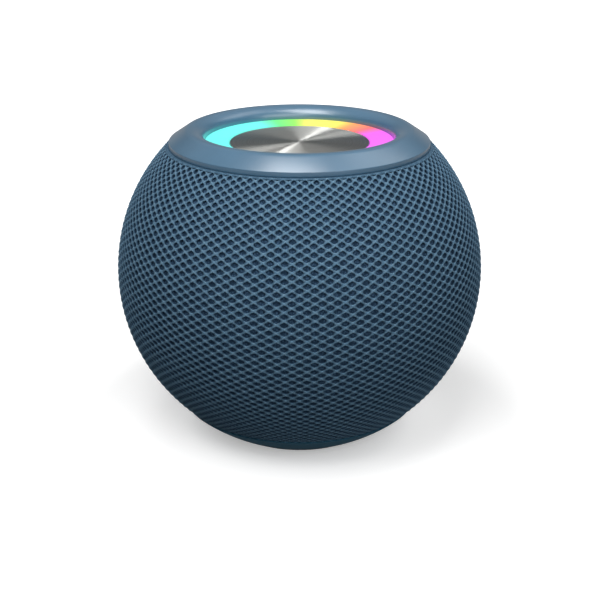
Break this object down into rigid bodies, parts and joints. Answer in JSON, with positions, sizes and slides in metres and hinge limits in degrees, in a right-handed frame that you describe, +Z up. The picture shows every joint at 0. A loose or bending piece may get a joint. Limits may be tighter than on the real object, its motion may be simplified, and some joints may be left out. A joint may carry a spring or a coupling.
{
  "type": "smart speaker",
  "caption": "Ball-shaped smart speaker with a knitted cover, a sloped top bezel, a glowing light ring round a spun metal touch disc, and a low base.",
  "frame": {"origin": "centre of the rubber foot on the surface the speaker stands on", "axes": "+Z up along the ball's axis, the front faces -Y, the rear panel faces +Y"},
  "size_m": [0.098, 0.0982, 0.084],
  "materials": {
    "knit": "knitted",
    "bezel_plastic": "satin paint on plastic",
    "diffuser": "frosted, lit from below",
    "disc_metal": "spun",
    "base_plastic": "smooth satin",
    "foot_rubber": "matt",
    "panel_plastic": "satin",
    "button_rubber": "matt silicone",
    "lens_plastic": "clear",
    "steel": "plated",
    "screw_steel": "zinc plated",
    "plate_steel": "zinc plated, yellow",
    "housing_plastic": "moulded",
    "inner_plastic": "moulded",
    "white_plastic": "moulded",
    "seal_rubber": "matt foam rubber",
    "board_laminate": "solder mask",
    "white_board_laminate": "white solder mask",
    "led_package": "moulded",
    "chip_epoxy": "moulded",
    "capacitor_can": "drawn can",
    "connector_plastic": "moulded",
    "cell_wrap": "shrink wrap",
    "red_wire": "insulation",
    "black_wire": "insulation",
    "ribbon_film": "film",
    "basket_metal": "black paint",
    "ferrite": "ferrite",
    "former_paper": "polyimide",
    "copper_wire": "enamelled",
    "cone_paper": "pressed paper",
    "surround_rubber": "matt",
    "spider_cloth": "doped cloth",
    "terminal_brass": "tinned",
    "radiator_metal": "bead blasted",
    "mic_can": "gold plated"
  },
  "bodies": {
    "speaker": {"fabric_cover": "knit", "top_bezel": "bezel_plastic", "light_ring": "diffuser", "touch_disc": "disc_metal", "touch_board": "board_laminate", "light_tray": "white_plastic", "led_board": "white_board_laminate", "ring_leds": "led_package", "tray_screws": "screw_steel", "upper_housing": "housing_plastic", "lower_housing": "housing_plastic", "housing_gasket": "seal_rubber", "housing_screws": "screw_steel", "base_shell": "base_plastic", "base_screws": "screw_steel", "foot_pad": "foot_rubber", "main_board": "board_laminate", "processor_shield": "steel", "board_chips": "chip_epoxy", "board_capacitors": "capacitor_can", "board_connectors": "connector_plastic", "board_screws": "screw_steel", "battery_cell": "cell_wrap", "battery_cradle": "inner_plastic", "battery_leads": "red_wire", "speaker_leads": "black_wire", "button_ribbon": "ribbon_film", "baffle_plate": "inner_plastic", "driver_basket": "basket_metal", "driver_top_plate": "plate_steel", "driver_magnet": "ferrite", "driver_yoke": "plate_steel", "driver_surround": "surround_rubber", "driver_spider": "spider_cloth", "driver_terminals": "terminal_brass", "driver_screws": "screw_steel", "sound_guide": "inner_plastic", "left_radiator_frame": "inner_plastic", "left_radiator_surround": "surround_rubber", "right_radiator_frame": "inner_plastic", "right_radiator_surround": "surround_rubber", "radiator_screws": "screw_steel", "control_panel": "panel_plastic", "button_board": "board_laminate", "tact_switches": "steel", "usb_socket_shell": "steel", "usb_socket_tongue": "chip_epoxy", "status_lens": "lens_plastic", "microphone": "mic_can", "panel_screws": "screw_steel"},
    "driver_diaphragm": {"driver_cone": "cone_paper", "dust_cap": "cone_paper", "coil_former": "former_paper", "voice_coil": "copper_wire"},
    "left_radiator": {"left_radiator_plate": "radiator_metal"},
    "right_radiator": {"right_radiator_plate": "radiator_metal"},
    "power_key": {"power_button": "button_rubber"},
    "volume_down_key": {"volume_down_button": "button_rubber"},
    "play_key": {"play_button": "button_rubber"},
    "volume_up_key": {"volume_up_button": "button_rubber"}
  },
  "joints": [
    {"name": "driver_stroke", "type": "slide", "parent": "speaker", "child": "driver_diaphragm", "axis": [0, 0, 1], "range_m": [-0.002, 0.002], "stiffness_N_per_m": 1500, "deforming": ["driver_surround", "driver_spider"]},
    {"name": "left_radiator_stroke", "type": "slide", "parent": "speaker", "child": "left_radiator", "axis": [-1, 0, 0], "range_m": [-0.0025, 0.0025], "stiffness_N_per_m": 800, "deforming": ["left_radiator_surround"]},
    {"name": "right_radiator_stroke", "type": "slide", "parent": "speaker", "child": "right_radiator", "axis": [1, 0, 0], "range_m": [-0.0025, 0.0025], "stiffness_N_per_m": 800, "deforming": ["right_radiator_surround"]},
    {"name": "power_press", "type": "slide", "parent": "speaker", "child": "power_key", "axis": [0, -0.9848, 0.1736], "range_m": [0, 0.0006], "stiffness_N_per_m": 2500},
    {"name": "volume_down_press", "type": "slide", "parent": "speaker", "child": "volume_down_key", "axis": [0, -0.9848, 0.1736], "range_m": [0, 0.0006], "stiffness_N_per_m": 2500},
    {"name": "play_press", "type": "slide", "parent": "speaker", "child": "play_key", "axis": [0, -0.9848, 0.1736], "range_m": [0, 0.0006], "stiffness_N_per_m": 2500},
    {"name": "volume_up_press", "type": "slide", "parent": "speaker", "child": "volume_up_key", "axis": [0, -0.9848, 0.1736], "range_m": [0, 0.0006], "stiffness_N_per_m": 2500}
  ]
}
